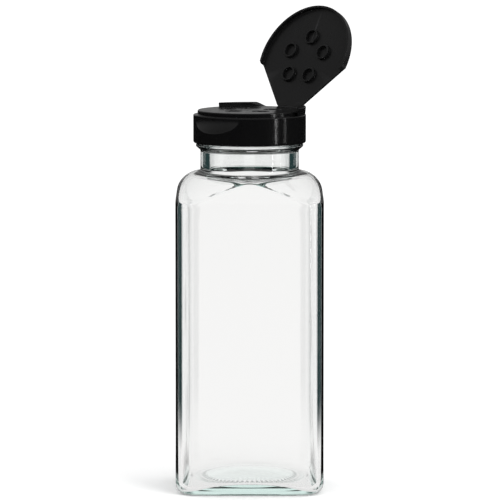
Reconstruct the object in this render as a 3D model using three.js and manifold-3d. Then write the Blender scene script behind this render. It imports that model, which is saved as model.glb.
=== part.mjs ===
// Square glass jar with a black screw cap: five sifter holes in its deck and a flip-up lid on a living hinge.
// Millimetres, +Z up, the jar's axis on Z, the ring it stands on at z = 0, the front of the jar facing -Y.
// At rest the cap is screwed down and the lid stands open.
import * as THREE from "three";
import { mergeVertices } from "three/addons/utils/BufferGeometryUtils.js";
import Module from "manifold-3d";

// Driving dimensions: the jar.
const BODY_WIDTH = 59.8; // across the flats
const CORNER_RADIUS = 10; // of the body, seen from above
const WALL = 2.5;
const HEEL_RADIUS = 4.2; // outside, between the walls and the ring it stands on
const INNER_HEEL_RADIUS = 4;
const PUSH_UP_RADIUS = 19; // the round recess under the base
const PUSH_UP_DEPTH = 0.9;
const FLOOR_TOP = 6.8; // the middle of the floor inside
const FLOOR_FALL = 0.0039; // how fast the domed floor falls away, per mm of radius squared
const SHOULDER_START = 117.8;
const SHOULDER_HEIGHT = 11.3;
const NECK_RADIUS = 19.95;
const NECK_FILLET = 1.35;
const BORE_RADIUS = 16.3;
const BEAD_RADIUS = 21.8; // the ring of glass just under the cap
const BEAD_TOP = 140.45;
const FINISH_RADIUS = 19.85; // the neck between the threads
const RIM_TOP = 150.9;
const RIM_ROUNDING = 0.8;

// Driving dimensions: the screw thread.
const PITCH = 4.23;
const THREAD_BOTTOM = 143; // the middle of the glass thread where it starts
const THREAD_HEIGHT = 1.1;
const THREAD_TURNS = 1.25;
const THREAD_CLEARANCE = 0.35; // between one thread's crest and the other part's wall

// Driving dimensions: the cap.
const CAP_RADIUS = 22.85;
const CAP_BOTTOM = 140.8;
const LEDGE_TOP = 152.3; // the step the lid's lip comes down on
const DECK_RADIUS = 21.1;
const DECK_TOP = 154.1;
const DECK_UNDERSIDE = 152.5;
const LAND_RADIUS = 20.3; // inside the cap, the pocket over the rim of the glass
const LID_TOP = 155.6; // closed lid and the guards beside it
const CAP_TURN = -43.4; // degrees about +Z from the jar's front to the thumb recess

const GUARD_START = 103; // degrees from the thumb recess round to the blunt end of each guard
const RAMP_START = 13.4; // sideways from the middle, where each guard starts to fall towards the hinge
const RAMP_SLOPE = 0.5;

const HOLE_COUNT = 5;
const HOLE_CIRCLE = 9.37;
const HOLE_RADIUS = 3.45;
const PLUG_RADIUS = 3.25;
const PLUG_WALL = 0.7;
const PLUG_HEIGHT = 1.35;

const RECESS_HALF_ANGLE = 34; // the thumb recess, to each side of its middle
const RECESS_HEIGHT = 6.6;
const RECESS_DEPTH = 0.9;

// Driving dimensions: the lid and its hinge.
const LID_RADIUS = 23.1; // just proud of the skirt, for the thumb
const LID_HALF_ARC = 97.5; // degrees of round edge to each side of the thumb recess
const LID_PLATE = 1.2;
const LIP_WALL = 1;
const LID_EDGE = 0.5; // rounding of the lid's top edge
const HINGE_HALF_WIDTH = 6.4;
const HINGE_FACE = 21.45; // from the axis back to the faces that the hinge web joins
const HINGE_BACK = 22.3; // from the axis back to the line the lid turns about
const WEB_FOOT = 152.8; // the height at which the web leaves the cap
const LID_OPEN = 118; // degrees, from closed
const WEB_THICKNESS = 0.5;
const WEB_LENGTH = 2.4; // along its middle, from the cap to the lid
const GAP = 0.3; // between pieces that touch

// Derived.
const HALF = BODY_WIDTH / 2;
const PLATE_UNDERSIDE = LID_TOP - LID_PLATE;
const LIP_BOTTOM = LEDGE_TOP + GAP;
const HINGE_HEIGHT = (WEB_FOOT + (LID_TOP + PLATE_UNDERSIDE) / 2) / 2;
const THREAD_CREST = FINISH_RADIUS + THREAD_HEIGHT;
const CAP_BORE = THREAD_CREST + THREAD_CLEARANCE;
const CAP_CREST = FINISH_RADIUS + THREAD_CLEARANCE + 0.1;
const CAP_THREAD_DROP = 1.6; // the cap's thread bears on the glass thread from below

const wasm = await Module();
wasm.setup();
const degrees = THREE.MathUtils.degToRad;
const lerp = THREE.MathUtils.lerp;

const clearGlass = new THREE.MeshStandardMaterial({ color: 0xd9e6e3, roughness: 0.05, metalness: 0 });
const blackPlastic = new THREE.MeshStandardMaterial({ color: 0x121314, roughness: 0.25, metalness: 0 });
const blackLid = new THREE.MeshStandardMaterial({ color: 0x17181a, roughness: 0.45, metalness: 0 });
const foam = new THREE.MeshStandardMaterial({ color: 0xe8e6df, roughness: 0.8, metalness: 0 });

// A closed geometry as a solid that can be joined to others and cut.
function solid(geometry) {
  const bare = geometry.clone();
  bare.deleteAttribute("normal");
  bare.deleteAttribute("uv");
  const merged = mergeVertices(bare, 1e-4);
  return new wasm.Manifold(
    new wasm.Mesh({
      numProp: 3,
      vertProperties: new Float32Array(merged.attributes.position.array),
      triVerts: new Uint32Array(merged.index.array),
    }),
  );
}

function namedMesh(name, made, material) {
  const data = made.getMesh();
  const geometry = new THREE.BufferGeometry();
  geometry.setAttribute("position", new THREE.BufferAttribute(data.vertProperties, 3));
  geometry.setIndex(new THREE.BufferAttribute(data.triVerts, 1));
  geometry.computeVertexNormals();
  const mesh = new THREE.Mesh(geometry, material);
  mesh.name = name;
  return mesh;
}

// A turned body: its profile is [radius, height] pairs, walked with the material on the left.
function turned(profile, segments) {
  const points = profile.map(([r, z]) => new THREE.Vector2(r, z));
  return new THREE.LatheGeometry(points, segments).rotateX(Math.PI / 2);
}

// The points of a quarter circle of profile, from angle a to angle b in degrees.
function arc(centreR, centreZ, radius, a, b, steps) {
  return Array.from({ length: steps + 1 }, (_, i) => {
    const t = degrees(lerp(a, b, i / steps));
    return [centreR + radius * Math.cos(t), centreZ + radius * Math.sin(t)];
  });
}

function box(x0, x1, y0, y1, z0, z1) {
  const made = new THREE.BoxGeometry(x1 - x0, y1 - y0, z1 - z0);
  return solid(made.translate((x0 + x1) / 2, (y0 + y1) / 2, (z0 + z1) / 2));
}

// An outline drawn on the XY plane and raised from z0 to z1, its top edge rounded.
function raised(shape, z0, z1, rounding, curveSegments) {
  const made = new THREE.ExtrudeGeometry(shape, {
    depth: z1 - z0 - 2 * rounding,
    bevelEnabled: rounding > 0,
    bevelThickness: rounding,
    bevelSize: rounding,
    bevelOffset: -rounding,
    bevelSegments: 3,
    curveSegments,
  });
  return solid(made.translate(0, 0, z0 + rounding));
}

// --- The jar -------------------------------------------------------------------------------------

// Directions round the axis, closer together where the body's corners are.
const octant = [0, 8.5, 17, 25.5, 34, 38, 41.5];
const quarter = [...octant, 45, ...octant.slice(1).reverse().map((a) => 90 - a)];
const directions = [0, 90, 180, 270].flatMap((start) => quarter.map((a) => degrees(start + a)));

// How far a rounded square reaches from its middle in one direction.
function reach(direction, half, corner) {
  const offFlat = Math.abs(THREE.MathUtils.euclideanModulo(direction + Math.PI / 4, Math.PI / 2) - Math.PI / 4);
  const centre = half - corner;
  if (half * Math.tan(offFlat) <= centre) return half / Math.cos(offFlat);
  const along = centre * (Math.cos(offFlat) + Math.sin(offFlat));
  return along + Math.sqrt(corner * corner - 2 * centre * centre + along * along);
}

// One level of the jar: a rounded square; its height may depend on the distance from the axis.
function level(half, corner, height) {
  return directions.map((direction) => {
    const r = reach(direction, half, corner);
    const z = typeof height === "function" ? height(r) : height;
    return [r * Math.cos(direction), r * Math.sin(direction), z];
  });
}

const round = (radius, height) => level(radius, radius, height);

// A skin through all the levels, closed by a point on the axis at each end.
function skin(levels, firstZ, lastZ) {
  const count = directions.length;
  const points = [[0, 0, firstZ], ...levels.flat(), [0, 0, lastZ]];
  const last = points.length - 1;
  const faces = [];
  for (let j = 0; j < count; j++) {
    const k = (j + 1) % count;
    faces.push(0, 1 + k, 1 + j);
    for (let i = 0; i < levels.length - 1; i++) {
      const low = 1 + i * count;
      const high = low + count;
      faces.push(low + j, low + k, high + k, low + j, high + k, high + j);
    }
    faces.push(last, last - count + j, last - count + k);
  }
  const geometry = new THREE.BufferGeometry();
  geometry.setAttribute("position", new THREE.Float32BufferAttribute(points.flat(), 3));
  geometry.setIndex(faces);
  return geometry;
}

const floorHeight = (r) => FLOOR_TOP - FLOOR_FALL * r * r;

function shoulderLevels(neck, fillet, width, corner, start, height, steps) {
  const foot = neck + fillet;
  const filletTop = start + height + fillet;
  const levels = [];
  for (let i = 0; i <= steps; i++) {
    const a = (i / steps) * (Math.PI / 2);
    const half = foot + (width - foot) * Math.cos(a);
    const roundness = lerp(corner / width, 1, THREE.MathUtils.smoothstep(Math.sin(a), 0, 1));
    levels.push(level(half, half * roundness, start + height * Math.sin(a)));
  }
  for (let i = 1; i <= 3; i++) {
    const b = (i / 3) * (Math.PI / 2);
    levels.push(round(foot - fillet * Math.sin(b), filletTop - fillet * Math.cos(b)));
  }
  return levels;
}

function heelLevels(half, corner, radius, height, steps) {
  return Array.from({ length: steps + 1 }, (_, i) => {
    const a = (i / steps) * (Math.PI / 2);
    const out = radius * (Math.sin(a) - 1);
    return level(half + out, corner + out, height(radius * (1 - Math.cos(a))));
  });
}

// A screw ridge: its section is [radius, height] pairs walked with the material on the left; the
// deepest part of it lies inside the wall it grows from, and its ends fade into that wall.
function screwRidge(section, wall, bottom, fromTurn, toTurn) {
  const perTurn = 40;
  const steps = Math.round((toTurn - fromTurn) * perTurn);
  const fade = 3;
  const points = [];
  const faces = [];
  for (let i = 0; i <= steps; i++) {
    const turn = lerp(fromTurn, toTurn, i / steps);
    const share = Math.min(1, 0.15 + 0.85 * Math.min(i, steps - i) / fade);
    const angle = 2 * Math.PI * turn;
    section.forEach(([r, dz]) => {
      const radius = lerp(wall, r, share);
      points.push(radius * Math.cos(angle), radius * Math.sin(angle), bottom + PITCH * turn + dz);
    });
  }
  for (let i = 0; i < steps; i++) {
    for (let k = 0; k < 4; k++) {
      const a = 4 * i + k;
      const b = 4 * i + ((k + 1) % 4);
      faces.push(a, a + 4, b + 4, a, b + 4, b);
    }
  }
  const end = 4 * steps;
  faces.push(0, 1, 2, 0, 2, 3, end, end + 2, end + 1, end, end + 3, end + 2);
  const geometry = new THREE.BufferGeometry();
  geometry.setAttribute("position", new THREE.Float32BufferAttribute(points, 3));
  geometry.setIndex(faces);
  return solid(geometry);
}

function makeJar() {
  const inner = HALF - WALL;
  const innerCorner = CORNER_RADIUS - WALL;
  const shoulderInside = shoulderLevels(BORE_RADIUS, 1.7, inner, innerCorner, SHOULDER_START - 0.8, 9.6, 6);
  const heelInside = heelLevels(inner, innerCorner, INNER_HEEL_RADIUS, (up) => (r) => floorHeight(r) + up, 4);
  const levels = [
    round(PUSH_UP_RADIUS - 1.2, PUSH_UP_DEPTH),
    round(PUSH_UP_RADIUS, 0),
    ...heelLevels(HALF, CORNER_RADIUS, HEEL_RADIUS, (up) => up, 5),
    ...shoulderLevels(NECK_RADIUS, NECK_FILLET, HALF, CORNER_RADIUS, SHOULDER_START, SHOULDER_HEIGHT, 7),
    round(NECK_RADIUS, BEAD_TOP - 2.6),
    round(BEAD_RADIUS - 0.3, BEAD_TOP - 1.3),
    round(BEAD_RADIUS, BEAD_TOP - 0.9),
    round(BEAD_RADIUS, BEAD_TOP - 0.4),
    round(BEAD_RADIUS - 0.4, BEAD_TOP),
    round(FINISH_RADIUS, BEAD_TOP),
    ...arc(FINISH_RADIUS - RIM_ROUNDING, RIM_TOP - RIM_ROUNDING, RIM_ROUNDING, 0, 90, 3).map((p) => round(...p)),
    ...arc(BORE_RADIUS + RIM_ROUNDING, RIM_TOP - RIM_ROUNDING, RIM_ROUNDING, 90, 180, 3).map((p) => round(...p)),
    ...shoulderInside.reverse(),
    ...heelInside.reverse(),
    round(15, floorHeight),
    round(7, floorHeight),
  ];
  const embed = FINISH_RADIUS - 0.4;
  const section = [
    [embed, -1.3],
    [THREAD_CREST, -0.5],
    [THREAD_CREST, 0.5],
    [embed, 1.3],
  ];
  const ridge = screwRidge(section, embed, THREAD_BOTTOM, 0, THREAD_TURNS);
  return namedMesh("glass_jar", solid(skin(levels, PUSH_UP_DEPTH, FLOOR_TOP)).add(ridge), clearGlass);
}

// --- The cap, drawn with its thumb recess to the front ---------------------------------------------

function makeSealRing() {
  const low = RIM_TOP + GAP;
  const high = DECK_UNDERSIDE - GAP;
  const inner = BORE_RADIUS + 0.3;
  const outer = FINISH_RADIUS - 0.6;
  const profile = [
    [inner, low],
    [outer, low],
    [outer, high],
    [inner, high],
    [inner, low],
  ];
  return namedMesh("seal_ring", solid(turned(profile, 48)), foam);
}

// Where the lid's straight side starts and ends: the end of its round edge, and the hinge.
const arcEnd = new THREE.Vector2(
  LID_RADIUS * Math.sin(degrees(LID_HALF_ARC)),
  -LID_RADIUS * Math.cos(degrees(LID_HALF_ARC)),
);
const hingeEnd = new THREE.Vector2(HINGE_HALF_WIDTH, HINGE_FACE);

function makeGuard(side) {
  const along = hingeEnd.clone().sub(arcEnd).normalize();
  const outward = new THREE.Vector2(along.y, -along.x);
  const reachOut = arcEnd.dot(outward) + GAP;
  const facing = Math.atan2(outward.y, outward.x);
  const disc = turned(
    [
      [0, LEDGE_TOP - GAP],
      [CAP_RADIUS - 0.3, LEDGE_TOP - GAP],
      ...arc(CAP_RADIUS - 0.4, LID_TOP - 0.4, 0.4, 0, 90, 3),
      [0, LID_TOP],
    ],
    96,
  );
  const beside = new THREE.BoxGeometry(10, 60, 20).translate(reachOut + 5, 0, LID_TOP).rotateZ(facing);
  const frontCut = new THREE.BoxGeometry(40, 20, 20)
    .translate(20, -10, LID_TOP)
    .rotateZ(degrees(GUARD_START - 90));
  const ramp = new THREE.Shape([
    new THREE.Vector2(RAMP_START, LID_TOP),
    new THREE.Vector2(RAMP_START, LID_TOP + 3),
    new THREE.Vector2(0, LID_TOP + 3),
    new THREE.Vector2(0, LID_TOP - RAMP_START * RAMP_SLOPE),
  ]);
  const rampCut = new THREE.ExtrudeGeometry(ramp, { depth: 30, bevelEnabled: false });
  rampCut.rotateX(Math.PI / 2).translate(0, 35, 0);
  const guard = solid(disc)
    .intersect(solid(beside))
    .subtract(solid(frontCut))
    .subtract(solid(rampCut));
  return side > 0 ? guard : guard.mirror([1, 0, 0]);
}

// The thumb recess: a shallow scoop below the ledge, half an ellipse seen from outside.
function makeRecess() {
  const block = new THREE.BoxGeometry(2, 2, 1, 20, 10, 1);
  const position = block.attributes.position;
  for (let i = 0; i < position.count; i++) {
    const off = position.getX(i) * (RECESS_HALF_ANGLE + 3);
    const z = LEDGE_TOP + 1 - (1 - position.getY(i)) * 0.5 * (RECESS_HEIGHT + 1.8);
    const down = Math.max(0, LEDGE_TOP - z) / RECESS_HEIGHT;
    const depth = RECESS_DEPTH * (1 - (off / RECESS_HALF_ANGLE) ** 2 - down ** 2);
    const r = position.getZ(i) < 0 ? CAP_RADIUS - Math.max(depth, -0.5) : CAP_RADIUS + 1.5;
    const t = degrees(off - 90);
    position.setXYZ(i, r * Math.cos(t), r * Math.sin(t), z);
  }
  return solid(block);
}

function aroundTheDeck(make) {
  return Array.from({ length: HOLE_COUNT }, (_, i) => {
    const t = degrees(-90 + (360 / HOLE_COUNT) * i);
    return make(new THREE.Vector2(HOLE_CIRCLE * Math.cos(t), HOLE_CIRCLE * Math.sin(t)));
  });
}

function makeCap() {
  const shell = turned(
    [
      [0, DECK_UNDERSIDE],
      [LAND_RADIUS, DECK_UNDERSIDE],
      [LAND_RADIUS, LEDGE_TOP - 1.1],
      [CAP_BORE, LEDGE_TOP - 1.9],
      [CAP_BORE, CAP_BOTTOM + 0.4],
      [CAP_BORE + 0.3, CAP_BOTTOM],
      ...arc(CAP_RADIUS - 0.8, CAP_BOTTOM + 0.8, 0.8, -90, 0, 4),
      ...arc(CAP_RADIUS - 0.3, LEDGE_TOP - 0.3, 0.3, 0, 90, 2),
      [DECK_RADIUS, LEDGE_TOP],
      ...arc(DECK_RADIUS - 0.4, DECK_TOP - 0.4, 0.4, 0, 90, 2),
      [0, DECK_TOP],
    ],
    96,
  );
  const hingeLand = box(-HINGE_HALF_WIDTH, HINGE_HALF_WIDTH, 20.4, HINGE_FACE, LEDGE_TOP - 0.2, WEB_FOOT + 0.3);
  const notchHalf = HINGE_HALF_WIDTH + GAP + 0.1;
  const notch = box(-notchHalf, notchHalf, HINGE_FACE, CAP_RADIUS + 2, LEDGE_TOP, LID_TOP + 2);
  const embed = CAP_BORE + 0.4;
  const section = [
    [CAP_CREST, -0.4],
    [embed, -0.95],
    [embed, 0.95],
    [CAP_CREST, 0.4],
  ];
  const ridge = screwRidge(section, embed, THREAD_BOTTOM - CAP_THREAD_DROP, 0.15, 1.3).rotate([0, 0, -CAP_TURN]);
  const holeProfile = [
    [0, DECK_UNDERSIDE - 1],
    [HOLE_RADIUS, DECK_UNDERSIDE - 1],
    [HOLE_RADIUS, DECK_TOP - 0.25],
    [HOLE_RADIUS + 0.25, DECK_TOP],
    [HOLE_RADIUS + 0.25, DECK_TOP + 1],
    [0, DECK_TOP + 1],
  ];
  const holes = aroundTheDeck((at) => solid(turned(holeProfile, 32).translate(at.x, at.y, 0)));
  let cap = solid(shell).add(makeGuard(1)).add(makeGuard(-1)).add(hingeLand).subtract(notch);
  cap = cap.subtract(makeRecess()).add(ridge);
  holes.forEach((hole) => {
    cap = cap.subtract(hole);
  });
  return namedMesh("cap_shell", cap, blackPlastic);
}

// The lid, drawn closed: a flat plate with a lip round its round edge and a ring plug over each hole.
function makeLid() {
  const outline = new THREE.Shape();
  outline.moveTo(hingeEnd.x, hingeEnd.y);
  outline.lineTo(-hingeEnd.x, hingeEnd.y);
  outline.lineTo(-arcEnd.x, arcEnd.y);
  outline.absarc(0, 0, LID_RADIUS, degrees(-90 - LID_HALF_ARC), degrees(-90 + LID_HALF_ARC), false);
  outline.closePath();
  const pocketProfile = [
    [0, LIP_BOTTOM - 4],
    [LID_RADIUS - LIP_WALL, LIP_BOTTOM - 4],
    [LID_RADIUS - LIP_WALL, PLATE_UNDERSIDE - 0.3],
    [LID_RADIUS - LIP_WALL - 0.3, PLATE_UNDERSIDE],
    [0, PLATE_UNDERSIDE],
  ];
  let lid = raised(outline, LIP_BOTTOM - 2, LID_TOP, LID_EDGE, 72);
  lid = lid.subtract(box(-30, 30, -30, 30, LIP_BOTTOM - 4, LIP_BOTTOM));
  lid = lid.subtract(solid(turned(pocketProfile, 96)));
  // The lip stops short of the hinge, where the closed lid meets the step that the web grows from.
  const lipEnd = HINGE_HALF_WIDTH + GAP + 0.1;
  lid = lid.subtract(box(-lipEnd, lipEnd, HINGE_FACE - 1.4, LID_RADIUS, LIP_BOTTOM - 4, PLATE_UNDERSIDE));
  const plugProfile = [
    [PLUG_RADIUS - PLUG_WALL, PLATE_UNDERSIDE - PLUG_HEIGHT],
    [PLUG_RADIUS - 0.2, PLATE_UNDERSIDE - PLUG_HEIGHT],
    [PLUG_RADIUS, PLATE_UNDERSIDE - PLUG_HEIGHT + 0.3],
    [PLUG_RADIUS, PLATE_UNDERSIDE + 0.3],
    [PLUG_RADIUS - PLUG_WALL, PLATE_UNDERSIDE + 0.3],
    [PLUG_RADIUS - PLUG_WALL, PLATE_UNDERSIDE - PLUG_HEIGHT],
  ];
  aroundTheDeck((at) => solid(turned(plugProfile, 32).translate(at.x, at.y, 0))).forEach((plug) => {
    lid = lid.add(plug);
  });
  const mesh = namedMesh("flip_lid", lid, blackLid);
  mesh.geometry.translate(0, -HINGE_BACK, -HINGE_HEIGHT);
  mesh.position.set(0, HINGE_BACK, HINGE_HEIGHT);
  mesh.rotation.x = -degrees(LID_OPEN);
  return mesh;
}

// The living hinge: a thin curved strip that carries on from the cap's hinge face to the lid's.
function makeHingeWeb() {
  const bend = degrees(180 - LID_OPEN);
  const radius = WEB_LENGTH / bend;
  const from = GAP / radius;
  const to = bend - GAP / radius;
  const centreZ = WEB_FOOT + radius;
  const side = (r, start, end) =>
    Array.from({ length: 7 }, (_, i) => {
      const t = lerp(start, end, i / 6);
      return new THREE.Vector2(HINGE_FACE + r * Math.sin(t), centreZ - r * Math.cos(t));
    });
  const strip = new THREE.Shape([
    ...side(radius + WEB_THICKNESS / 2, from, to),
    ...side(radius - WEB_THICKNESS / 2, to, from),
  ]);
  const width = 2 * HINGE_HALF_WIDTH;
  const made = new THREE.ExtrudeGeometry(strip, { depth: width, bevelEnabled: false });
  made.rotateX(Math.PI / 2).rotateZ(Math.PI / 2).translate(-width / 2, 0, 0);
  return namedMesh("hinge_web", solid(made), blackPlastic);
}

const group = new THREE.Group();
group.add(makeJar());
group.add(makeSealRing());

const closure = new THREE.Group();
closure.add(makeCap());
closure.add(makeHingeWeb());
closure.add(makeLid());
closure.rotation.z = degrees(CAP_TURN);
group.add(closure);

export default group;
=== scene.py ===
import math

import bmesh
import bpy
from mathutils import Matrix, Vector


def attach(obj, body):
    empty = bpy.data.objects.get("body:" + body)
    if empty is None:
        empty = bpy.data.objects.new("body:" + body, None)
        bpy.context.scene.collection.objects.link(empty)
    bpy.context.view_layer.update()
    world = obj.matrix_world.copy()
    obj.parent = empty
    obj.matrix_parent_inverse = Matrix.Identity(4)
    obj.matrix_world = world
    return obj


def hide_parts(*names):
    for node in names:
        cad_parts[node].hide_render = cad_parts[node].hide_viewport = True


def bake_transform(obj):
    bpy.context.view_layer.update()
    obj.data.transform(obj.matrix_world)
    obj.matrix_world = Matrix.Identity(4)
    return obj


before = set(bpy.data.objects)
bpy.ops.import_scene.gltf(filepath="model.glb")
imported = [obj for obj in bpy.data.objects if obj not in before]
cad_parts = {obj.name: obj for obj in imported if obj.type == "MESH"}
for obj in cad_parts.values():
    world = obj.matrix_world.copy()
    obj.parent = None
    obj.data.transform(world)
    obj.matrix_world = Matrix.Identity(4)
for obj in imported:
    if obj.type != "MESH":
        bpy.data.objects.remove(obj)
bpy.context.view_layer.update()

MM = 0.001

# --- Camera ---------------------------------------------------------------------------------------
# A long lens a little above the cap, looking slightly down at the middle of the jar.
# The jar stands with its front face square to it.
EYE = Vector((0.16, -2168.0, 325.2)) * MM
AIM = Vector((0.16, 0.0, 96.9)) * MM

camera_data = bpy.data.cameras.new("camera")
camera_data.sensor_width = 36.0
camera_data.lens = 386.1
camera_data.clip_end = 100.0
camera = bpy.data.objects.new("camera", camera_data)
camera.location = EYE
camera.rotation_mode = "QUATERNION"
camera.rotation_quaternion = (AIM - EYE).to_track_quat("-Z", "Y")
bpy.context.scene.collection.objects.link(camera)
bpy.context.scene.camera = camera
bpy.context.scene.view_settings.view_transform = "Standard"

# --- Studio ---------------------------------------------------------------------------------------
# A white room with a white floor. Light that has gone straight through the four faces of the jar
# sees white. Light turned back inside the glass sees the dark of the room, and so does the gloss
# of an upright wall; gloss on a surface that faces up sees the white ceiling near the horizon.
WHITE = 1.06
THROUGH_GLASS = (0.975, 0.943, 0.945, 1)  # a touch warm, so the clear walls look neutral
LOST_IN_GLASS = (0.022, 0.045, 0.046, 1)
ROOM_LIGHT = 1.22
FLOOR_PAINTED_GLOW = 0.85  # share of the floor's colour that is a painted glow where it is seen through glass
FLOOR_RADIUS, FLOOR_WHITE, FLOOR_SHADED = 8.0, 0.86, 0.7
DARK_HORIZON = 0.012
DARK_FROM = 15  # degrees off square


def math_node(nodes, links, operation, a, b=0.0, clamp=False):
    node = nodes.new("ShaderNodeMath")
    node.operation = operation
    node.use_clamp = clamp
    for socket, value in zip(node.inputs, (a, b)):
        if isinstance(value, (int, float)):
            socket.default_value = value
        else:
            links.new(value, socket)
    return node.outputs[0]


def choose(nodes, links, mask, if_one, if_zero):
    mix = nodes.new("ShaderNodeMix")
    mix.data_type = "FLOAT"
    links.new(mask, mix.inputs["Factor"])
    for socket, value in ((mix.inputs["A"], if_zero), (mix.inputs["B"], if_one)):
        if isinstance(value, (int, float)):
            socket.default_value = value
        else:
            links.new(value, socket)
    return mix.outputs["Result"]


def room_brightness(nodes, links, mirrored, room_light, level_and_aside):
    """The room's colour for a ray, by what the ray has been through, and whether it has crossed
    the glass and nothing dull."""
    path = nodes.new("ShaderNodeLightPath")
    no_diffuse = math_node(nodes, links, "LESS_THAN", path.outputs["Diffuse Depth"], 0.5)
    crossed = math_node(nodes, links, "GREATER_THAN", path.outputs["Transmission Depth"], 0.5)
    glossy = math_node(nodes, links, "GREATER_THAN", path.outputs["Glossy Depth"], 0.5)
    off_surface = choose(nodes, links, glossy, mirrored, WHITE)
    shade = choose(nodes, links, no_diffuse, off_surface, room_light)
    crossed = math_node(nodes, links, "MULTIPLY", crossed, no_diffuse)
    turned_back = math_node(nodes, links, "MULTIPLY", glossy, level_and_aside)
    turned_back = math_node(nodes, links, "MULTIPLY", turned_back, crossed)
    for mask, colour in ((crossed, THROUGH_GLASS), (turned_back, LOST_IN_GLASS)):
        mix = nodes.new("ShaderNodeMix")
        mix.data_type = "RGBA"
        links.new(mask, mix.inputs["Factor"])
        links.new(shade, mix.inputs["A"])
        mix.inputs["B"].default_value = colour
        shade = mix.outputs["Result"]
    return shade, crossed


def ramp(nodes, links, value, low, high):
    """0 below low, 1 above high, smooth between."""
    step = nodes.new("ShaderNodeMapRange")
    step.interpolation_type = "SMOOTHSTEP"
    links.new(value, step.inputs["Value"])
    step.inputs["From Min"].default_value = low
    step.inputs["From Max"].default_value = high
    return step.outputs["Result"]


def aside(nodes, links, across, along):
    """1 for a direction well off all four sides of the jar: the dark gaps between the white walls."""
    turn = math_node(nodes, links, "ARCTAN2", across, along)
    phase = math_node(nodes, links, "PINGPONG", turn, math.pi / 4)
    return ramp(nodes, links, phase, math.radians(DARK_FROM - 4), math.radians(DARK_FROM + 4))


world = bpy.data.worlds.new("white_room")
bpy.context.scene.world = world
world.use_nodes = True
world.cycles.sampling_method = "NONE"
nodes, links = world.node_tree.nodes, world.node_tree.links
direction = nodes.new("ShaderNodeTexCoord").outputs["Generated"]
upward = nodes.new("ShaderNodeSeparateXYZ")
links.new(direction, upward.inputs[0])
ceiling = nodes.new("ShaderNodeValToRGB")
stops = ceiling.color_ramp.elements
stops[0].position, stops[0].color = 0.0, (DARK_HORIZON,) * 3 + (1,)
stops[1].position, stops[1].color = 1.0, (0.25, 0.25, 0.25, 1)
for position, level_of_grey in ((0.04, 0.2), (0.10, 0.3), (0.3, 0.2), (0.6, 0.2)):
    stops.new(position).color = (level_of_grey,) * 3 + (1,)
links.new(upward.outputs["Z"], ceiling.inputs[0])
level = math_node(nodes, links, "ABSOLUTE", upward.outputs["Z"])
level = math_node(nodes, links, "SUBTRACT", 1.0, ramp(nodes, links, level, 0.15, 0.26))
off_square = aside(nodes, links, upward.outputs["X"], upward.outputs["Y"])
gaps = math_node(nodes, links, "MULTIPLY", level, off_square)
room, _ = room_brightness(nodes, links, ceiling.outputs["Color"], ROOM_LIGHT, gaps)
links.new(room, nodes["Background"].inputs["Color"])

floor_mesh = bpy.data.meshes.new("floor")
shape = bmesh.new()
bmesh.ops.create_circle(shape, cap_ends=True, segments=64, radius=FLOOR_RADIUS)
shape.to_mesh(floor_mesh)
shape.free()
floor = bpy.data.objects.new("floor", floor_mesh)
bpy.context.scene.collection.objects.link(floor)
# The floor is painted by the ray that meets it. Where it is seen in gloss it is near-black, a painted dark
# reflection. In the off-square gaps seen through the glass it is dark teal, painted shade. Where it is seen
# through the glass it glows, a painted light.
floor_paint = bpy.data.materials.new("floor_paint")
floor_paint.use_nodes = True
nodes, links = floor_paint.node_tree.nodes, floor_paint.node_tree.links
nodes.clear()
output = nodes.new("ShaderNodeOutputMaterial")
chalk = nodes.new("ShaderNodeBsdfDiffuse")
spot = nodes.new("ShaderNodeSeparateXYZ")
spot_place = nodes.new("ShaderNodeTexCoord").outputs["Object"]
links.new(spot_place, spot.inputs[0])
distance = nodes.new("ShaderNodeVectorMath")
distance.operation = "LENGTH"
links.new(spot_place, distance.inputs[0])
far = ramp(nodes, links, distance.outputs["Value"], 0.1, 0.3)
gaps = math_node(nodes, links, "MULTIPLY", far, aside(nodes, links, spot.outputs["X"], spot.outputs["Y"]))
paler = nodes.new("ShaderNodeVectorMath")
paler.operation = "SCALE"
paler.inputs["Scale"].default_value = FLOOR_WHITE
shade, crossed = room_brightness(nodes, links, DARK_HORIZON, FLOOR_SHADED, gaps)
links.new(shade, paler.inputs[0])
links.new(paler.outputs[0], chalk.inputs["Color"])
# A painted glow: the floor gives off light where it is seen through the glass.
painted_glow = nodes.new("ShaderNodeEmission")
links.new(shade, painted_glow.inputs["Color"])
paint = nodes.new("ShaderNodeMixShader")
links.new(math_node(nodes, links, "MULTIPLY", crossed, FLOOR_PAINTED_GLOW), paint.inputs["Fac"])
links.new(chalk.outputs[0], paint.inputs[1])
links.new(painted_glow.outputs[0], paint.inputs[2])
links.new(paint.outputs[0], output.inputs["Surface"])
floor_mesh.materials.append(floor_paint)


def softbox(name, azimuth, height, distance, width, tall, power):
    lamp_data = bpy.data.lights.new(name, "AREA")
    lamp_data.shape = "RECTANGLE"
    lamp_data.size, lamp_data.size_y = width, tall
    lamp_data.energy = power
    lamp = bpy.data.objects.new(name, lamp_data)
    turn = math.radians(azimuth)
    lamp.location = (distance * math.sin(turn), -distance * math.cos(turn), height)
    lamp.rotation_mode = "QUATERNION"
    lamp.rotation_quaternion = (Vector((0, 0, height)) - lamp.location).to_track_quat("-Z", "Y")
    lamp.visible_camera = False
    lamp.visible_transmission = False
    bpy.context.scene.collection.objects.link(lamp)
    return lamp


fill_box = softbox("front_right_box", 34, 0.85, 1.15, 0.62, 1.2, 9.0)
fill_box.visible_glossy = False  # or the flat deck mirrors it as a white disc from behind
softbox("near_strip", 55, 0.42, 0.9, 0.03, 0.9, 0.8)
softbox("far_strip", 77, 0.42, 0.9, 0.02, 0.9, 0.3)

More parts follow.
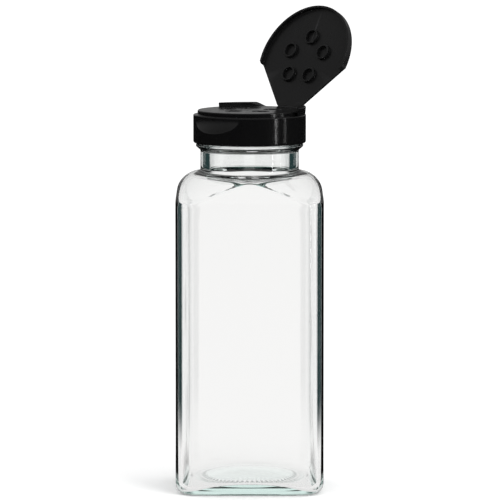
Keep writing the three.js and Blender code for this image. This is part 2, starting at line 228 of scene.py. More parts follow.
# --- Glass jar ------------------------------------------------------------------------------------
# A square bottle of clear soda-lime glass, blown in a mould and left with a faint green tint:
# a shallow hollow under the base with a scalloped step, knurled standing ring, domed shoulder,
# bead and screw finish. The wall is even in the shoulder, so nothing dark shows through it.
AROUND = 480  # directions round the axis
HALF_WIDTH, CORNER = 29.9, 10.0
INSIDE_HALF, INSIDE_CORNER, WALL = 27.4, 7.5, 2.5
HEEL, INSIDE_HEEL = 4.2, 3.0
SHOULDER_FOOT, SHOULDER_RISE = 117.8, 11.3
NECK, NECK_FILLET = 19.95, 1.35
BORE, BORE_FILLET = 16.3, 1.7
FINISH = 19.85  # the neck between the threads
THREAD_FOOT, THREAD_PITCH, THREAD_TURNS, THREAD_RISE = 143.0, 4.23, 1.25, 1.1
RIM, RIM_ROUND = 150.9, 0.8
KNURLS, KNURL_DEPTH = 60, 0.3
FLOOR_MIDDLE = 6.8
PUSH_UP, STEP_FROM, STEP_WIDE, SCALLOP = 1.9, 17.1, 1.1, 0.95
DOME = 0.0039  # drop of the inside floor and of the hollow, per square millimetre out from the axis
SCUFFED_AT, SCUFFED_HALF, SCUFFED_UP = 0.0184, 0.0009, 0.0011  # metres
SHOULDER_STEPS = 18
GLASS_TINT = (0.62, 0.90, 0.84, 1)
GLASS_TINT_DENSITY = 14.0


def smooth_step(x):
    x = min(1.0, max(0.0, x))
    return x * x * (3 - 2 * x)


def reach(angle, half, corner):
    """How far a square with rounded corners reaches from its middle in one direction."""
    off_flat = abs((angle + math.pi / 4) % (math.pi / 2) - math.pi / 4)
    centre = half - corner
    if half * math.tan(off_flat) <= centre:
        return half / math.cos(off_flat)
    along = centre * (math.cos(off_flat) + math.sin(off_flat))
    return along + math.sqrt(max(0.0, corner * corner - 2 * centre * centre + along * along))


def ring(half, corner, height):
    """One level of the jar. height is a number, or a function of the direction and radius."""
    points = []
    for i in range(AROUND):
        angle = 2 * math.pi * i / AROUND
        r = reach(angle, half, corner)
        z = height(angle, r) if callable(height) else height
        points.append((r * math.cos(angle) * MM, r * math.sin(angle) * MM, z * MM))
    return points


def circle(radius, height):
    return ring(radius, radius, height)


def thread_height(angle, z, foot, turns_from, turns_to, crest_half, base_half, rise):
    """How proud of its wall a screw thread stands. Its ends fade into the wall."""
    height = 0.0
    first = angle / (2 * math.pi)
    for turn in (first, first + 1):
        if turns_from < turn < turns_to:
            off = abs(z - foot - THREAD_PITCH * turn)
            fade = smooth_step((turn - turns_from) / 0.07) * smooth_step((turns_to - turn) / 0.07)
            height = max(height, rise * fade * smooth_step((base_half - off) / (base_half - crest_half)))
    return height


def screw_ring(z):
    points = []
    for i in range(AROUND):
        angle = 2 * math.pi * i / AROUND
        r = FINISH + thread_height(angle, z, THREAD_FOOT, 0.0, THREAD_TURNS, 0.4, 1.09, THREAD_RISE)
        points.append((r * math.cos(angle) * MM, r * math.sin(angle) * MM, z * MM))
    return points


def shoulder(neck, fillet, half_width, corner, foot, rise, steps):
    rings = []
    waist = neck + fillet
    for i in range(steps + 1):
        a = math.pi / 2 * i / steps
        half = waist + (half_width - waist) * math.cos(a)
        square = corner / half_width
        roundness = square + (1 - square) * smooth_step(math.sin(a))
        rings.append(ring(half, half * roundness, foot + rise * math.sin(a)))
    for i in range(1, 7):
        b = math.pi / 2 * i / 6
        rings.append(circle(waist - fillet * math.sin(b), foot + rise + fillet * (1 - math.cos(b))))
    return rings


def heel(half, corner, radius, height, steps):
    rings = []
    for i in range(steps + 1):
        a = math.pi / 2 * i / steps
        inward = radius * (math.sin(a) - 1)
        rings.append(ring(half + inward, corner + inward, height(radius * (1 - math.cos(a)))))
    return rings


def bend(centre_r, centre_z, radius, start, end, steps):
    """Points [radius, height] on a rounded edge of a profile, angles in degrees."""
    angles = [math.radians(start + (end - start) * i / steps) for i in range(steps + 1)]
    return [(centre_r + radius * math.cos(a), centre_z + radius * math.sin(a)) for a in angles]


def knurl(angle):
    phase = (angle * KNURLS / (2 * math.pi)) % 1
    return smooth_step(2.2 * (0.5 - abs(phase - 0.5)) - 0.35)


def knurled(depth_share):
    return lambda angle, _: KNURL_DEPTH * depth_share * knurl(angle)


def dome(r):
    return DOME * r * r


def push_up_step(angle, r):
    """The hollow under the base and the scalloped step from it down to the standing ring."""
    return (PUSH_UP - dome(r)) * (1 - smooth_step((r - STEP_FROM - SCALLOP * knurl(angle)) / STEP_WIDE))


def inside_floor(up=0.0):
    return lambda angle, r: FLOOR_MIDDLE - dome(r) + up


def stepped_in(rings, wall):
    """The same rings moved square into the glass by the wall, so that both sides stay parallel."""
    inner = []
    top = len(rings) - 1
    for i, level in enumerate(rings):
        moved = []
        for j in range(AROUND):
            around = Vector(level[(j + 1) % AROUND]) - Vector(level[j - 1])
            up = Vector((0, 0, 1)) if i == 0 else Vector(rings[min(i + 1, top)][j]) - Vector(rings[i - 1][j])
            out = Vector((0, 0, 1)) if i == top else around.cross(up).normalized()
            moved.append(tuple(Vector(level[j]) - out * wall * MM))
        inner.append(moved)
    return inner


def skin(rings, first_z, last_z):
    """A closed mesh through all the rings, with a point on the axis at each end."""
    count = len(rings[0])
    points = [(0, 0, first_z * MM)] + [p for level in rings for p in level] + [(0, 0, last_z * MM)]
    last = len(points) - 1
    faces = []
    for j in range(count):
        k = (j + 1) % count
        faces.append((0, 1 + k, 1 + j))
        for i in range(len(rings) - 1):
            low, high = 1 + i * count, 1 + (i + 1) * count
            faces.append((low + j, low + k, high + k, high + j))
        faces.append((last, last - count + j, last - count + k))
    return points, faces


def new_piece(name, points, faces):
    mesh = bpy.data.meshes.new(name)
    mesh.from_pydata(points, [], faces)
    mesh.validate()
    for face in mesh.polygons:
        face.use_smooth = True
    piece = bpy.data.objects.new(name, mesh)
    bpy.context.scene.collection.objects.link(piece)
    return piece


push_up = [circle(r, push_up_step) for r in (2.0, 4.0, 6.0, 8.0, 10.0, 12.0, 14.0, 16.0, 16.8)]
push_up += [circle(STEP_FROM + 0.25 * i, push_up_step) for i in range(10)]
knurl_levels = ((19.7, 0.0), (20.0, 0.7), (20.4, 1.0), (21.0, 1.0), (21.6, 1.0), (22.0, 0.7), (22.3, 0.0))
knurl_band = [circle(r, knurled(share)) for r, share in knurl_levels]
walls = [ring(HALF_WIDTH, CORNER, z) for z in (6, 20, 50, 85, 110, 116)]
bead = [(NECK, 133), (NECK, 137.0), (NECK, 137.7), (NECK + 0.35, 138.2), (21.1, 138.85), (21.5, 139.2)]
bead += [(21.75, 139.55), (21.8, 139.8), (21.75, 140.1), (21.5, 140.36), (21.2, 140.44), (20.4, 140.45)]
screw_levels = [140.45 + 0.24 * i for i in range(41)]
rim = bend(FINISH - RIM_ROUND, RIM - RIM_ROUND, RIM_ROUND, 6, 90, 7)
rim += bend(BORE + RIM_ROUND, RIM - RIM_ROUND, RIM_ROUND, 90, 180, 8)
outer_shoulder = shoulder(
    NECK, NECK_FILLET, HALF_WIDTH, CORNER, SHOULDER_FOOT, SHOULDER_RISE, SHOULDER_STEPS
)
dome_top = SHOULDER_FOOT + SHOULDER_RISE - WALL
bore_foot = bend(BORE + BORE_FILLET, dome_top + BORE_FILLET, BORE_FILLET, 270, 180, 6)
inside_shoulder = stepped_in(outer_shoulder[:SHOULDER_STEPS + 1], WALL)
inside_shoulder += [circle(r, z) for r, z in [(20.0, dome_top), (19.0, dome_top)] + bore_foot]
inside_walls = [ring(INSIDE_HALF, INSIDE_CORNER, z) for z in (116, 110, 85, 50, 20)]
inside_heel = heel(INSIDE_HALF, INSIDE_CORNER, INSIDE_HEEL, inside_floor, 8)
jar_rings = (
    push_up
    + knurl_band
    + heel(HALF_WIDTH, CORNER, HEEL, lambda up: up, 10)
    + walls
    + outer_shoulder
    + [circle(r, z) for r, z in bead]
    + [screw_ring(z) for z in screw_levels]
    + [circle(r, z) for r, z in rim]
    + [circle(BORE, z) for z in (147, 138, 131)]
    + inside_shoulder[::-1]
    + inside_walls
    + inside_heel[::-1]
    + [circle(r, inside_floor()) for r in (20, 18, 16, 14, 12, 10, 8, 6, 4, 2)]
)
jar = new_piece("glass_jar_shell", *skin(jar_rings, PUSH_UP, FLOOR_MIDDLE))

glass = bpy.data.materials.new("clear_glass")
glass.use_nodes = True
nodes, links = glass.node_tree.nodes, glass.node_tree.links
shader = nodes["Principled BSDF"]
shader.inputs["Transmission Weight"].default_value = 1.0
shader.inputs["IOR"].default_value = 1.52
shader.inputs["Roughness"].default_value = 0.0
place = nodes.new("ShaderNodeTexCoord").outputs["Object"]
ripple = nodes.new("ShaderNodeTexNoise")
ripple.inputs["Scale"].default_value = 38.0
ripple.inputs["Detail"].default_value = 1.0
links.new(place, ripple.inputs["Vector"])
swell = nodes.new("ShaderNodeBump")
swell.inputs["Strength"].default_value = 0.08
swell.inputs["Distance"].default_value = 0.0012
links.new(ripple.outputs["Fac"], swell.inputs["Height"])
links.new(swell.outputs["Normal"], shader.inputs["Normal"])
iron = nodes.new("ShaderNodeMix")
iron.data_type = "RGBA"
iron.inputs["A"].default_value = (0.995, 1.0, 0.998, 1)
iron.inputs["B"].default_value = (0.99, 0.997, 0.994, 1)
links.new(ripple.outputs["Fac"], iron.inputs["Factor"])
# The scallops beside the standing ring are scuffed grey by the shelves the jar has stood on.
spread = nodes.new("ShaderNodeVectorMath")
spread.operation = "MULTIPLY"
spread.inputs[1].default_value = (1, 1, 0)
links.new(place, spread.inputs[0])
radius = nodes.new("ShaderNodeVectorMath")
radius.operation = "LENGTH"
links.new(spread.outputs[0], radius.inputs[0])
off_band = math_node(nodes, links, "SUBTRACT", radius.outputs["Value"], SCUFFED_AT)
on_band = math_node(nodes, links, "LESS_THAN", math_node(nodes, links, "ABSOLUTE", off_band), SCUFFED_HALF)
spot = nodes.new("ShaderNodeSeparateXYZ")
links.new(place, spot.inputs[0])
underneath = math_node(nodes, links, "LESS_THAN", spot.outputs["Z"], SCUFFED_UP)
turn = math_node(nodes, links, "ARCTAN2", spot.outputs["Y"], spot.outputs["X"])
turn = math_node(nodes, links, "MULTIPLY", turn, KNURLS / (2 * math.pi))
ridge = math_node(nodes, links, "GREATER_THAN", math_node(nodes, links, "PINGPONG", turn, 0.5), 0.25)
scuffed = math_node(nodes, links, "MULTIPLY", math_node(nodes, links, "MULTIPLY", on_band, underneath), ridge)
worn_knurl = nodes.new("ShaderNodeMix")
worn_knurl.data_type = "RGBA"
worn_knurl.inputs["B"].default_value = (0.10, 0.12, 0.12, 1)
links.new(scuffed, worn_knurl.inputs["Factor"])
links.new(iron.outputs["Result"], worn_knurl.inputs["A"])
links.new(worn_knurl.outputs["Result"], shader.inputs["Base Color"])
tint = nodes.new("ShaderNodeVolumeAbsorption")
tint.inputs["Color"].default_value = GLASS_TINT
tint.inputs["Density"].default_value = GLASS_TINT_DENSITY
links.new(tint.outputs[0], nodes["Material Output"].inputs["Volume"])
jar.data.materials.append(glass)
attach(jar, "jar")
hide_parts("glass_jar")

# --- Seal ring ------------------------------------------------------------------------------------
# A thin ring of pale foam pressed up under the cap's deck, which the rim of the glass meets.
# The CAD ring is kept and takes a closed-cell foam skin.
foam = bpy.data.materials.new("pale_foam")
foam.use_nodes = True
nodes, links = foam.node_tree.nodes, foam.node_tree.links
shader = nodes["Principled BSDF"]
cells = nodes.new("ShaderNodeTexVoronoi")
cells.inputs["Scale"].default_value = 3200.0
place = nodes.new("ShaderNodeTexCoord").outputs["Object"]
links.new(place, cells.inputs["Vector"])
shade = nodes.new("ShaderNodeValToRGB")
shade.color_ramp.elements[0].color = (0.80, 0.79, 0.74, 1)
shade.color_ramp.elements[1].color = (0.68, 0.67, 0.61, 1)
links.new(cells.outputs["Distance"], shade.inputs[0])
links.new(shade.outputs["Color"], shader.inputs["Base Color"])
shader.inputs["Roughness"].default_value = 0.8
pits = nodes.new("ShaderNodeBump")
pits.inputs["Strength"].default_value = 0.4
pits.inputs["Distance"].default_value = 0.0001
links.new(cells.outputs["Distance"], pits.inputs["Height"])
links.new(pits.outputs["Normal"], shader.inputs["Normal"])
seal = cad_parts["seal_ring"]
for old in seal.material_slots:
    old.material = foam
if not seal.material_slots:
    raise RuntimeError("the seal ring has no material slot")

# --- Cap shell ------------------------------------------------------------------------------------
# One moulding of black polypropylene: smooth gloss skirt with a thumb scoop, a stepped deck with
# five sifter holes, a guard to each side of the lid, and a screw thread inside.
SCOOP_ROUND = -43.4  # degrees from the front
CAP_TURN = Matrix.Rotation(math.radians(SCOOP_ROUND), 4, "Z")
CAP_RADIUS, CAP_FOOT, LEDGE, DECK, DECK_EDGE = 22.85, 140.8, 152.3, 154.1, 21.1
CAP_INSIDE, POCKET, DECK_BELOW = 21.3, 20.3, 152.5
LID_TOP = 155.6
HOLES, HOLE_CIRCLE, HOLE_RADIUS = 5, 9.37, 3.45
SCOOP_HALF, SCOOP_TALL, SCOOP_DEEP = 34.0, 6.6, 0.9
HINGE_HALF, HINGE_FACE = 6.4, 21.45
LID_RADIUS, LID_HALF_ARC = 23.1, math.radians(97.5)
CAP_SEGMENTS = 288


def turned(profile, segments, reshape=None, closed=False):
    """A turned solid from [radius, height] pairs, walked with the material on the left.
    reshape gives a new radius from the angle, radius, height and place in the profile."""
    rings = []
    for place_in_profile, (r, z) in enumerate(profile):
        level = []
        for i in range(segments):
            angle = 2 * math.pi * i / segments
            wide = reshape(angle, r, z, place_in_profile) if reshape else r
            level.append((wide * math.cos(angle) * MM, wide * math.sin(angle) * MM, z * MM))
        rings.append(level)
    if not closed:
        return skin(rings[1:-1], profile[0][1], profile[-1][1])
    points = [p for level in rings for p in level]
    faces = []
    for i in range(len(rings)):
        low, high = i * segments, (i + 1) % len(rings) * segments
        for j in range(segments):
            k = (j + 1) % segments
            faces.append((low + j, low + k, high + k, high + j))
    return points, faces


def block(x0, x1, y0, y1, z0, z1):
    points = [(x * MM, y * MM, z * MM) for x in (x0, x1) for y in (y0, y1) for z in (z0, z1)]
    return points, [(0, 1, 3, 2), (4, 6, 7, 5), (0, 4, 5, 1), (2, 3, 7, 6), (0, 2, 6, 4), (1, 5, 7, 3)]


def placed(shape_data, matrix):
    points, faces = shape_data
    return [tuple(matrix @ Vector(p)) for p in points], faces


def combine(piece, operation, shape_data):
    """Joins a shape to a piece or cuts it away, and leaves a plain mesh."""
    tool = new_piece("tool", *shape_data)
    change = piece.modifiers.new("change", "BOOLEAN")
    change.operation, change.solver, change.object = operation, "EXACT", tool
    bake_mesh(piece)
    spent = tool.data
    bpy.data.objects.remove(tool)
    bpy.data.meshes.remove(spent)


def weld(piece):
    """Closes the hairline gaps that a union can leave where two faces meet in one plane."""
    shape = bmesh.new()
    shape.from_mesh(piece.data)
    bmesh.ops.remove_doubles(shape, verts=shape.verts, dist=0.002 * MM)
    bmesh.ops.dissolve_degenerate(shape, edges=shape.edges, dist=0.001 * MM)
    shape.to_mesh(piece.data)
    shape.free()


def bake_mesh(piece):
    graph = bpy.context.evaluated_depsgraph_get()
    made = bpy.data.meshes.new_from_object(piece.evaluated_get(graph), depsgraph=graph)
    piece.modifiers.clear()
    old = piece.data
    piece.data = made
    bpy.data.meshes.remove(old)
    made.name = piece.name


def soften(piece, width, segments, angle):
    edge = piece.modifiers.new("soft_edges", "BEVEL")
    edge.width, edge.segments = width * MM, segments
    edge.limit_method, edge.angle_limit = "ANGLE", math.radians(angle)
    bake_mesh(piece)


def finish_shading(piece, flat_along, angle=32):
    """Smooth sides, with the faces that lie square to one direction kept dead flat."""
    for face in piece.data.polygons:
        face.use_smooth = abs(face.normal.dot(flat_along)) < 0.9999
    piece.data.set_sharp_from_angle(angle=math.radians(angle))
    flat = piece.modifiers.new("flat_faces_stay_flat", "WEIGHTED_NORMAL")
    flat.keep_sharp = True


skirt_start = CAP_FOOT + 0.8
bore_levels = [149.9 - 0.25 * i for i in range(35)]
cap_profile = [(0, DECK_BELOW), (12, DECK_BELOW), (19.9, DECK_BELOW), (POCKET, DECK_BELOW)]
cap_profile += [(POCKET, LEDGE - 1.1), (CAP_INSIDE, LEDGE - 1.9)]
bore_first = len(cap_profile)
cap_profile += [(CAP_INSIDE, z) for z in bore_levels]
bore_last = len(cap_profile)
cap_profile += [(CAP_INSIDE + 0.3, CAP_FOOT)]
cap_profile += bend(CAP_RADIUS - 0.8, skirt_start, 0.8, -90, 0, 6)
skirt_first = len(cap_profile) - 1
cap_profile += [(CAP_RADIUS, skirt_start + (LEDGE - 0.3 - skirt_start) * i / 36) for i in range(1, 36)]
cap_profile += bend(CAP_RADIUS - 0.3, LEDGE - 0.3, 0.3, 0, 90, 4)
skirt_last = len(cap_profile)
cap_profile += [(21.5, LEDGE), (DECK_EDGE + 0.12, LEDGE), (DECK_EDGE, LEDGE + 0.12)]
cap_profile += bend(DECK_EDGE - 0.4, DECK - 0.4, 0.4, 0, 90, 5)
cap_profile += [(20.2, DECK), (18.5, DECK), (3.0, DECK), (0, DECK)]


def cap_shape(angle, r, z, place_in_profile):
    if bore_first <= place_in_profile < bore_last:
        jar_angle = (angle + math.radians(SCOOP_ROUND)) % (2 * math.pi)
        return r - thread_height(jar_angle, z, THREAD_FOOT - 1.6, 0.15, 1.3, 0.35, 0.79, 1.0)
    if skirt_first <= place_in_profile < skirt_last:
        off = (math.degrees(angle) + 90 + 180) % 360 - 180
        scoop = SCOOP_DEEP * (1 - (off / SCOOP_HALF) ** 2 - ((LEDGE - z) / SCOOP_TALL) ** 2)
        return r - max(0.0, scoop)
    return r


cap = new_piece("cap_moulding", *turned(cap_profile, CAP_SEGMENTS, cap_shape))
hole_profile = [(0, DECK_BELOW - 1), (HOLE_RADIUS, DECK_BELOW - 1), (HOLE_RADIUS, DECK - 0.32)]
hole_profile += [(HOLE_RADIUS + 0.06, DECK - 0.14), (HOLE_RADIUS + 0.25, DECK + 0.001)]
hole_profile += [(HOLE_RADIUS + 0.25, DECK + 1), (0, DECK + 1)]
hole_angles = [math.radians(-90 + 360 / HOLES * i) for i in range(HOLES)]
hole_centres = [Vector((HOLE_CIRCLE * math.cos(a), HOLE_CIRCLE * math.sin(a), 0)) * MM for a in hole_angles]
for centre in hole_centres:
    combine(cap, "DIFFERENCE", placed(turned(hole_profile, 64), Matrix.Translation(centre)))

arc_end = Vector((LID_RADIUS * math.sin(LID_HALF_ARC), -LID_RADIUS * math.cos(LID_HALF_ARC)))
hinge_end = Vector((HINGE_HALF, HINGE_FACE))
along_side = (hinge_end - arc_end).normalized()
outward = Vector((along_side.y, -along_side.x))
guard_inside = arc_end.dot(outward) + 0.3
facing = Matrix.Rotation(math.atan2(outward.y, outward.x), 4, "Z")
guard_disc = [(0, LEDGE - 0.3), (CAP_RADIUS - 0.3, LEDGE - 0.3), (CAP_RADIUS, LID_TOP - 0.4)]
guard_disc += bend(CAP_RADIUS - 0.4, LID_TOP - 0.4, 0.4, 15, 90, 4) + [(0, LID_TOP)]
guard = new_piece("guard", *turned(guard_disc, CAP_SEGMENTS))
beside_lid = block(guard_inside, guard_inside + 10, -30, 30, LID_TOP - 10, LID_TOP + 10)
combine(guard, "INTERSECT", placed(beside_lid, facing))
front_cut = block(0, 40, -20, 0, LID_TOP - 10, LID_TOP + 10)
combine(guard, "DIFFERENCE", placed(front_cut, Matrix.Rotation(math.radians(13), 4, "Z")))
ramp_tilt = Matrix.Translation(Vector((13.4, 0, LID_TOP)) * MM) @ Matrix.Rotation(-math.atan(0.5), 4, "Y")
combine(guard, "DIFFERENCE", placed(block(-30, 0, -30, 40, 0, 12), ramp_tilt))
soften(guard, 0.22, 3, 35)
guard_points = [tuple(v.co) for v in guard.data.vertices]
guard_faces = [tuple(f.vertices) for f in guard.data.polygons]
bpy.data.objects.remove(guard)
other_points = [(-x, y, z) for x, y, z in guard_points]
other_faces = [face[::-1] for face in guard_faces]
hinge_land = block(-HINGE_HALF, HINGE_HALF, 20.4, HINGE_FACE, LEDGE - 0.2, 153.1)
for part in ((guard_points, guard_faces), (other_points, other_faces), hinge_land):
    combine(cap, "UNION", part)
    weld(cap)
cap.data.transform(CAP_TURN)
finish_shading(cap, Vector((0, 0, 1)))

# The skin of a plastic moulding: fine grain, long streaks up the draw of the mould, and a paler
# mask on the sharp edges, a painted highlight broken up by the smudge noise.
moulded_skin = bpy.data.node_groups.new("moulded_skin", "ShaderNodeTree")
for name, default in (("Grain Size", 900.0), ("Streak Size", 260.0), ("Edge Highlight Strength", 0.5)):
    socket = moulded_skin.interface.new_socket(name, in_out="INPUT", socket_type="NodeSocketFloat")
    socket.default_value = default
for name in ("Grain", "Streak", "Painted Edge Highlight", "Smudge"):
    moulded_skin.interface.new_socket(name, in_out="OUTPUT", socket_type="NodeSocketFloat")
nodes, links = moulded_skin.nodes, moulded_skin.links
given, given_out = nodes.new("NodeGroupInput"), nodes.new("NodeGroupOutput")
place = nodes.new("ShaderNodeTexCoord").outputs["Object"]
grain = nodes.new("ShaderNodeTexNoise")
grain.inputs["Detail"].default_value = 4.0
links.new(place, grain.inputs["Vector"])
links.new(given.outputs["Grain Size"], grain.inputs["Scale"])
drawn = nodes.new("ShaderNodeMapping")
drawn.inputs["Scale"].default_value = (1.0, 1.0, 0.05)
links.new(place, drawn.inputs["Vector"])
streak = nodes.new("ShaderNodeTexNoise")
streak.inputs["Detail"].default_value = 3.0
links.new(drawn.outputs["Vector"], streak.inputs["Vector"])
links.new(given.outputs["Streak Size"], streak.inputs["Scale"])
smudge = nodes.new("ShaderNodeTexNoise")
smudge.inputs["Scale"].default_value = 55.0
smudge.inputs["Detail"].default_value = 2.0
links.new(place, smudge.inputs["Vector"])
# Sharp edges, found by pointiness, are painted paler: a painted edge highlight, not wear.
sharpness = nodes.new("ShaderNodeNewGeometry").outputs["Pointiness"]
edge = nodes.new("ShaderNodeMapRange")
edge.inputs["From Min"].default_value = 0.52
edge.inputs["From Max"].default_value = 0.62
links.new(sharpness, edge.inputs["Value"])
edge_highlight = math_node(nodes, links, "MULTIPLY", edge.outputs["Result"], given.outputs["Edge Highlight Strength"])
links.new(grain.outputs["Fac"], given_out.inputs["Grain"])
links.new(streak.outputs["Fac"], given_out.inputs["Streak"])
links.new(math_node(nodes, links, "MULTIPLY", edge_highlight, smudge.outputs["Fac"]), given_out.inputs["Painted Edge Highlight"])
links.new(smudge.outputs["Fac"], given_out.inputs["Smudge"])


def black_plastic(name, dark, pale, smooth, rough, streaks, grain_size, grain_depth):
    plastic = bpy.data.materials.new(name)
    plastic.use_nodes = True
    nodes, links = plastic.node_tree.nodes, plastic.node_tree.links
    shader = nodes["Principled BSDF"]
    surface = nodes.new("ShaderNodeGroup")
    surface.node_tree = moulded_skin
    surface.inputs["Grain Size"].default_value = grain_size
    # How strongly the sharp edges are painted paler, as a painted highlight.
    surface.inputs["Edge Highlight Strength"].default_value = 0.6
    body = nodes.new("ShaderNodeMix")
    body.data_type = "RGBA"
    body.inputs["A"].default_value = dark
    body.inputs["B"].default_value = pale
    links.new(surface.outputs["Smudge"], body.inputs["Factor"])
    # The sharp edges take a paler grey here: a painted highlight.
    edge_highlight_tone = nodes.new("ShaderNodeMix")
    edge_highlight_tone.data_type = "RGBA"
    edge_highlight_tone.inputs["B"].default_value = (0.05, 0.05, 0.052, 1)
    links.new(surface.outputs["Painted Edge Highlight"], edge_highlight_tone.inputs["Factor"])
    links.new(body.outputs["Result"], edge_highlight_tone.inputs["A"])
    links.new(edge_highlight_tone.outputs["Result"], shader.inputs["Base Color"])
    gloss = nodes.new("ShaderNodeMapRange")
    gloss.inputs["From Min"].default_value = 0.3
    gloss.inputs["From Max"].default_value = 0.7
    gloss.inputs["To Min"].default_value = smooth
    gloss.inputs["To Max"].default_value = rough
    links.new(surface.outputs["Streak"], gloss.inputs["Value"])
    links.new(gloss.outputs["Result"], shader.inputs["Roughness"])
    relief = math_node(
        nodes, links, "ADD",
        math_node(nodes, links, "MULTIPLY", surface.outputs["Streak"], streaks),
        math_node(nodes, links, "MULTIPLY", surface.outputs["Grain"], grain_depth),
    )
    bump = nodes.new("ShaderNodeBump")
    bump.inputs["Strength"].default_value = 1.0
    bump.inputs["Distance"].default_value = 0.0001
    links.new(relief, bump.inputs["Height"])
    links.new(bump.outputs["Normal"], shader.inputs["Normal"])
    return plastic


cap.data.materials.clear()
cap.data.materials.append(
    black_plastic(
        "black_gloss_moulding", (0.0015, 0.0015, 0.0016, 1), (0.0035, 0.0035, 0.0037, 1),
        smooth=0.1, rough=0.2, streaks=0.6, grain_size=620.0, grain_depth=0.24,
    )
)
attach(cap, "cap")
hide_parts("cap_shell")

# --- Hinge web ------------------------------------------------------------------------------------
# A thin strip of the same polypropylene, moulded in one with the cap and the lid. It leaves the
# cap level, curls up and enters the lid's edge. The real strip bends each time the lid is turned;
# this one is built in one fixed shape.
WEB_THICK, WEB_FOOT, WEB_RADIUS, WEB_BEND = 0.5, 152.8, 2.218, math.radians(62)
ROOTED = 0.35  # how far each end is set into its neighbour
web_centre_z = WEB_FOOT + WEB_RADIUS


def web_path(share):
    """The middle of the strip and the direction across its thickness, at a share of its length."""
    bend_length = WEB_RADIUS * WEB_BEND
    s = share * (bend_length + 2 * ROOTED) - ROOTED
    t = min(WEB_BEND, max(0.0, s / WEB_RADIUS))
    extra = s - t * WEB_RADIUS
    y = HINGE_FACE + WEB_RADIUS * math.sin(t) + extra * math.cos(t)
    z = web_centre_z - WEB_RADIUS * math.cos(t) + extra * math.sin(t)
    return y, z, Vector((0, -math.sin(t), math.cos(t)))


web_rings = []
for i in range(33):
    share = i / 32
    y, z, up = web_path(share)
    thin = WEB_THICK * (0.72 + 0.28 * abs(2 * share - 1) ** 1.5)
    wide = HINGE_HALF - 0.1
    section = []
    for side in (1, -1):
        for a in [90 - 30 * k for k in range(7)] if side > 0 else [-90 - 30 * k for k in range(7)]:
            x = side * (wide - thin / 2) + thin / 2 * math.cos(math.radians(a))
            off = thin / 2 * math.sin(math.radians(a))
            section.append(((x * MM), (y + up.y * off) * MM, (z + up.z * off) * MM))
    web_rings.append(section)
round_section = len(web_rings[0])
web_points = [p for section in web_rings for p in section]
web_faces = []
for i in range(len(web_rings) - 1):
    for j in range(round_section):
        k = (j + 1) % round_section
        a, b = i * round_section, (i + 1) * round_section
        web_faces.append((a + j, b + j, b + k, a + k))
web_faces.append(tuple(range(round_section)))
web_faces.append(tuple(reversed(range(len(web_points) - round_section, len(web_points)))))
web = new_piece("living_hinge", web_points, web_faces)
shape = bmesh.new()
shape.from_mesh(web.data)
bmesh.ops.recalc_face_normals(shape, faces=shape.faces)
shape.to_mesh(web.data)
shape.free()
web.data.transform(CAP_TURN)
web.data.set_sharp_from_angle(angle=math.radians(60))
web.data.materials.append(
    black_plastic(
        "flexed_black_strip", (0.006, 0.006, 0.0065, 1), (0.016, 0.016, 0.017, 1),
        smooth=0.22, rough=0.4, streaks=0.3, grain_size=2200.0, grain_depth=0.1,
    )
)
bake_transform(web)
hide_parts("hinge_web")

# --- Flip lid -------------------------------------------------------------------------------------
# The flat black lid of the same moulding, standing open: a plate with a lip round its round edge
# and five ring plugs that snap into the sifter holes. Its inside has the mould's dull finish.
LID_PLATE, LIP_WALL, LID_EDGE = 1.2, 1.0, 0.5
LIP_FOOT = 152.6
PLUG_OUTER, PLUG_WALL, PLUG_TALL = 3.25, 0.7, 1.35
HINGE_BACK, HINGE_UP = 22.3, 153.9
LID_OPEN = math.radians(118)
plate_below = LID_TOP - LID_PLATE

outline = []
for i in range(161):
    a = -math.pi / 2 - LID_HALF_ARC + 2 * LID_HALF_ARC * i / 160
    outline.append((Vector((math.cos(a), math.sin(a))) * LID_RADIUS, Vector((math.cos(a), math.sin(a)))))
side_out = outward
for share in (0.03, 0.3, 0.6, 0.97):
    outline.append((arc_end.lerp(hinge_end, share), side_out))
outline.append((hinge_end, (side_out + Vector((0, 1))) / (1 + side_out.y)))
outline.append((Vector((0, HINGE_FACE)), Vector((0, 1))))
mirror = [(Vector((-p.x, p.y)), Vector((-n.x, n.y))) for p, n in outline[161:166]]
outline += mirror[::-1]


def outline_at(inset, z):
    return [((p.x - n.x * inset) * MM, (p.y - n.y * inset) * MM, z * MM) for p, n in outline]


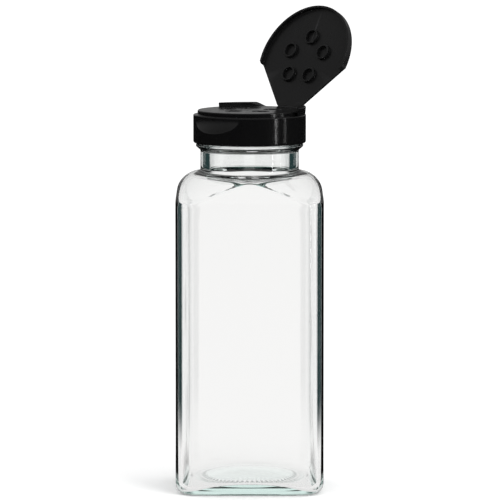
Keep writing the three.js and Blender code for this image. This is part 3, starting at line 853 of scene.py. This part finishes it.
lid_levels = [(0.0, 150.6), (0.0, LID_TOP - LID_EDGE)]
for i in range(1, 6):
    a = math.pi / 2 * i / 5
    lid_levels.append((LID_EDGE * (1 - math.cos(a)), LID_TOP - LID_EDGE * (1 - math.sin(a))))
lid_levels.append((1.2, LID_TOP))
lid = new_piece("flip_lid_moulding", *skin([outline_at(*level) for level in lid_levels], 150.6, LID_TOP))
pocket_wall = LID_RADIUS - LIP_WALL
hollow = [(0, 148), (25, 148), (25, LIP_FOOT + 0.3), (LID_RADIUS + 0.1, LIP_FOOT + 0.25)]
hollow += bend(LID_RADIUS - 0.22, LIP_FOOT + 0.22, 0.22, -10, -90, 4)
hollow += bend(pocket_wall + 0.22, LIP_FOOT + 0.22, 0.22, -90, -180, 4)
hollow += [(pocket_wall, plate_below - 0.3), (pocket_wall - 0.1, plate_below - 0.1)]
hollow += [(pocket_wall - 0.3, plate_below), (20, plate_below), (0, plate_below)]
combine(lid, "DIFFERENCE", turned(hollow, CAP_SEGMENTS))
lip_end = HINGE_HALF + 0.4
combine(lid, "DIFFERENCE", block(-lip_end, lip_end, HINGE_FACE - 1.4, 25, 148, plate_below + 0.0005))
plug_tip = plate_below - PLUG_TALL
plug_inner = PLUG_OUTER - PLUG_WALL
plug_profile = bend(plug_inner + 0.16, plug_tip + 0.16, 0.16, 180, 270, 3)
plug_profile += bend(PLUG_OUTER - 0.28, plug_tip + 0.28, 0.28, -90, 0, 4)
plug_profile += [(PLUG_OUTER - 0.07, plug_tip + 0.9), (PLUG_OUTER, plate_below - 0.25)]
plug_profile += [(PLUG_OUTER + 0.12, plate_below - 0.04), (PLUG_OUTER + 0.12, plate_below + 0.3)]
plug_profile += [(plug_inner, plate_below + 0.3)]
for centre in hole_centres:
    combine(lid, "UNION", placed(turned(plug_profile, 64, closed=True), Matrix.Translation(centre)))
hinge_line = Vector((0, HINGE_BACK, HINGE_UP)) * MM
opened = Matrix.Translation(hinge_line) @ Matrix.Rotation(-LID_OPEN, 4, "X") @ Matrix.Translation(-hinge_line)
lid.data.transform(CAP_TURN @ opened)
finish_shading(lid, (CAP_TURN @ opened).to_3x3() @ Vector((0, 0, 1)))
lid.data.materials.clear()
lid.data.materials.append(
    black_plastic(
        "black_satin_moulding", (0.003, 0.003, 0.0032, 1), (0.005, 0.005, 0.0052, 1),
        smooth=0.26, rough=0.36, streaks=0.1, grain_size=2600.0, grain_depth=0.22,
    )
)
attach(lid, "lid")
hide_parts("flip_lid")

# --- Update the scene -----------------------------------------------------------------------------
bpy.context.view_layer.update()
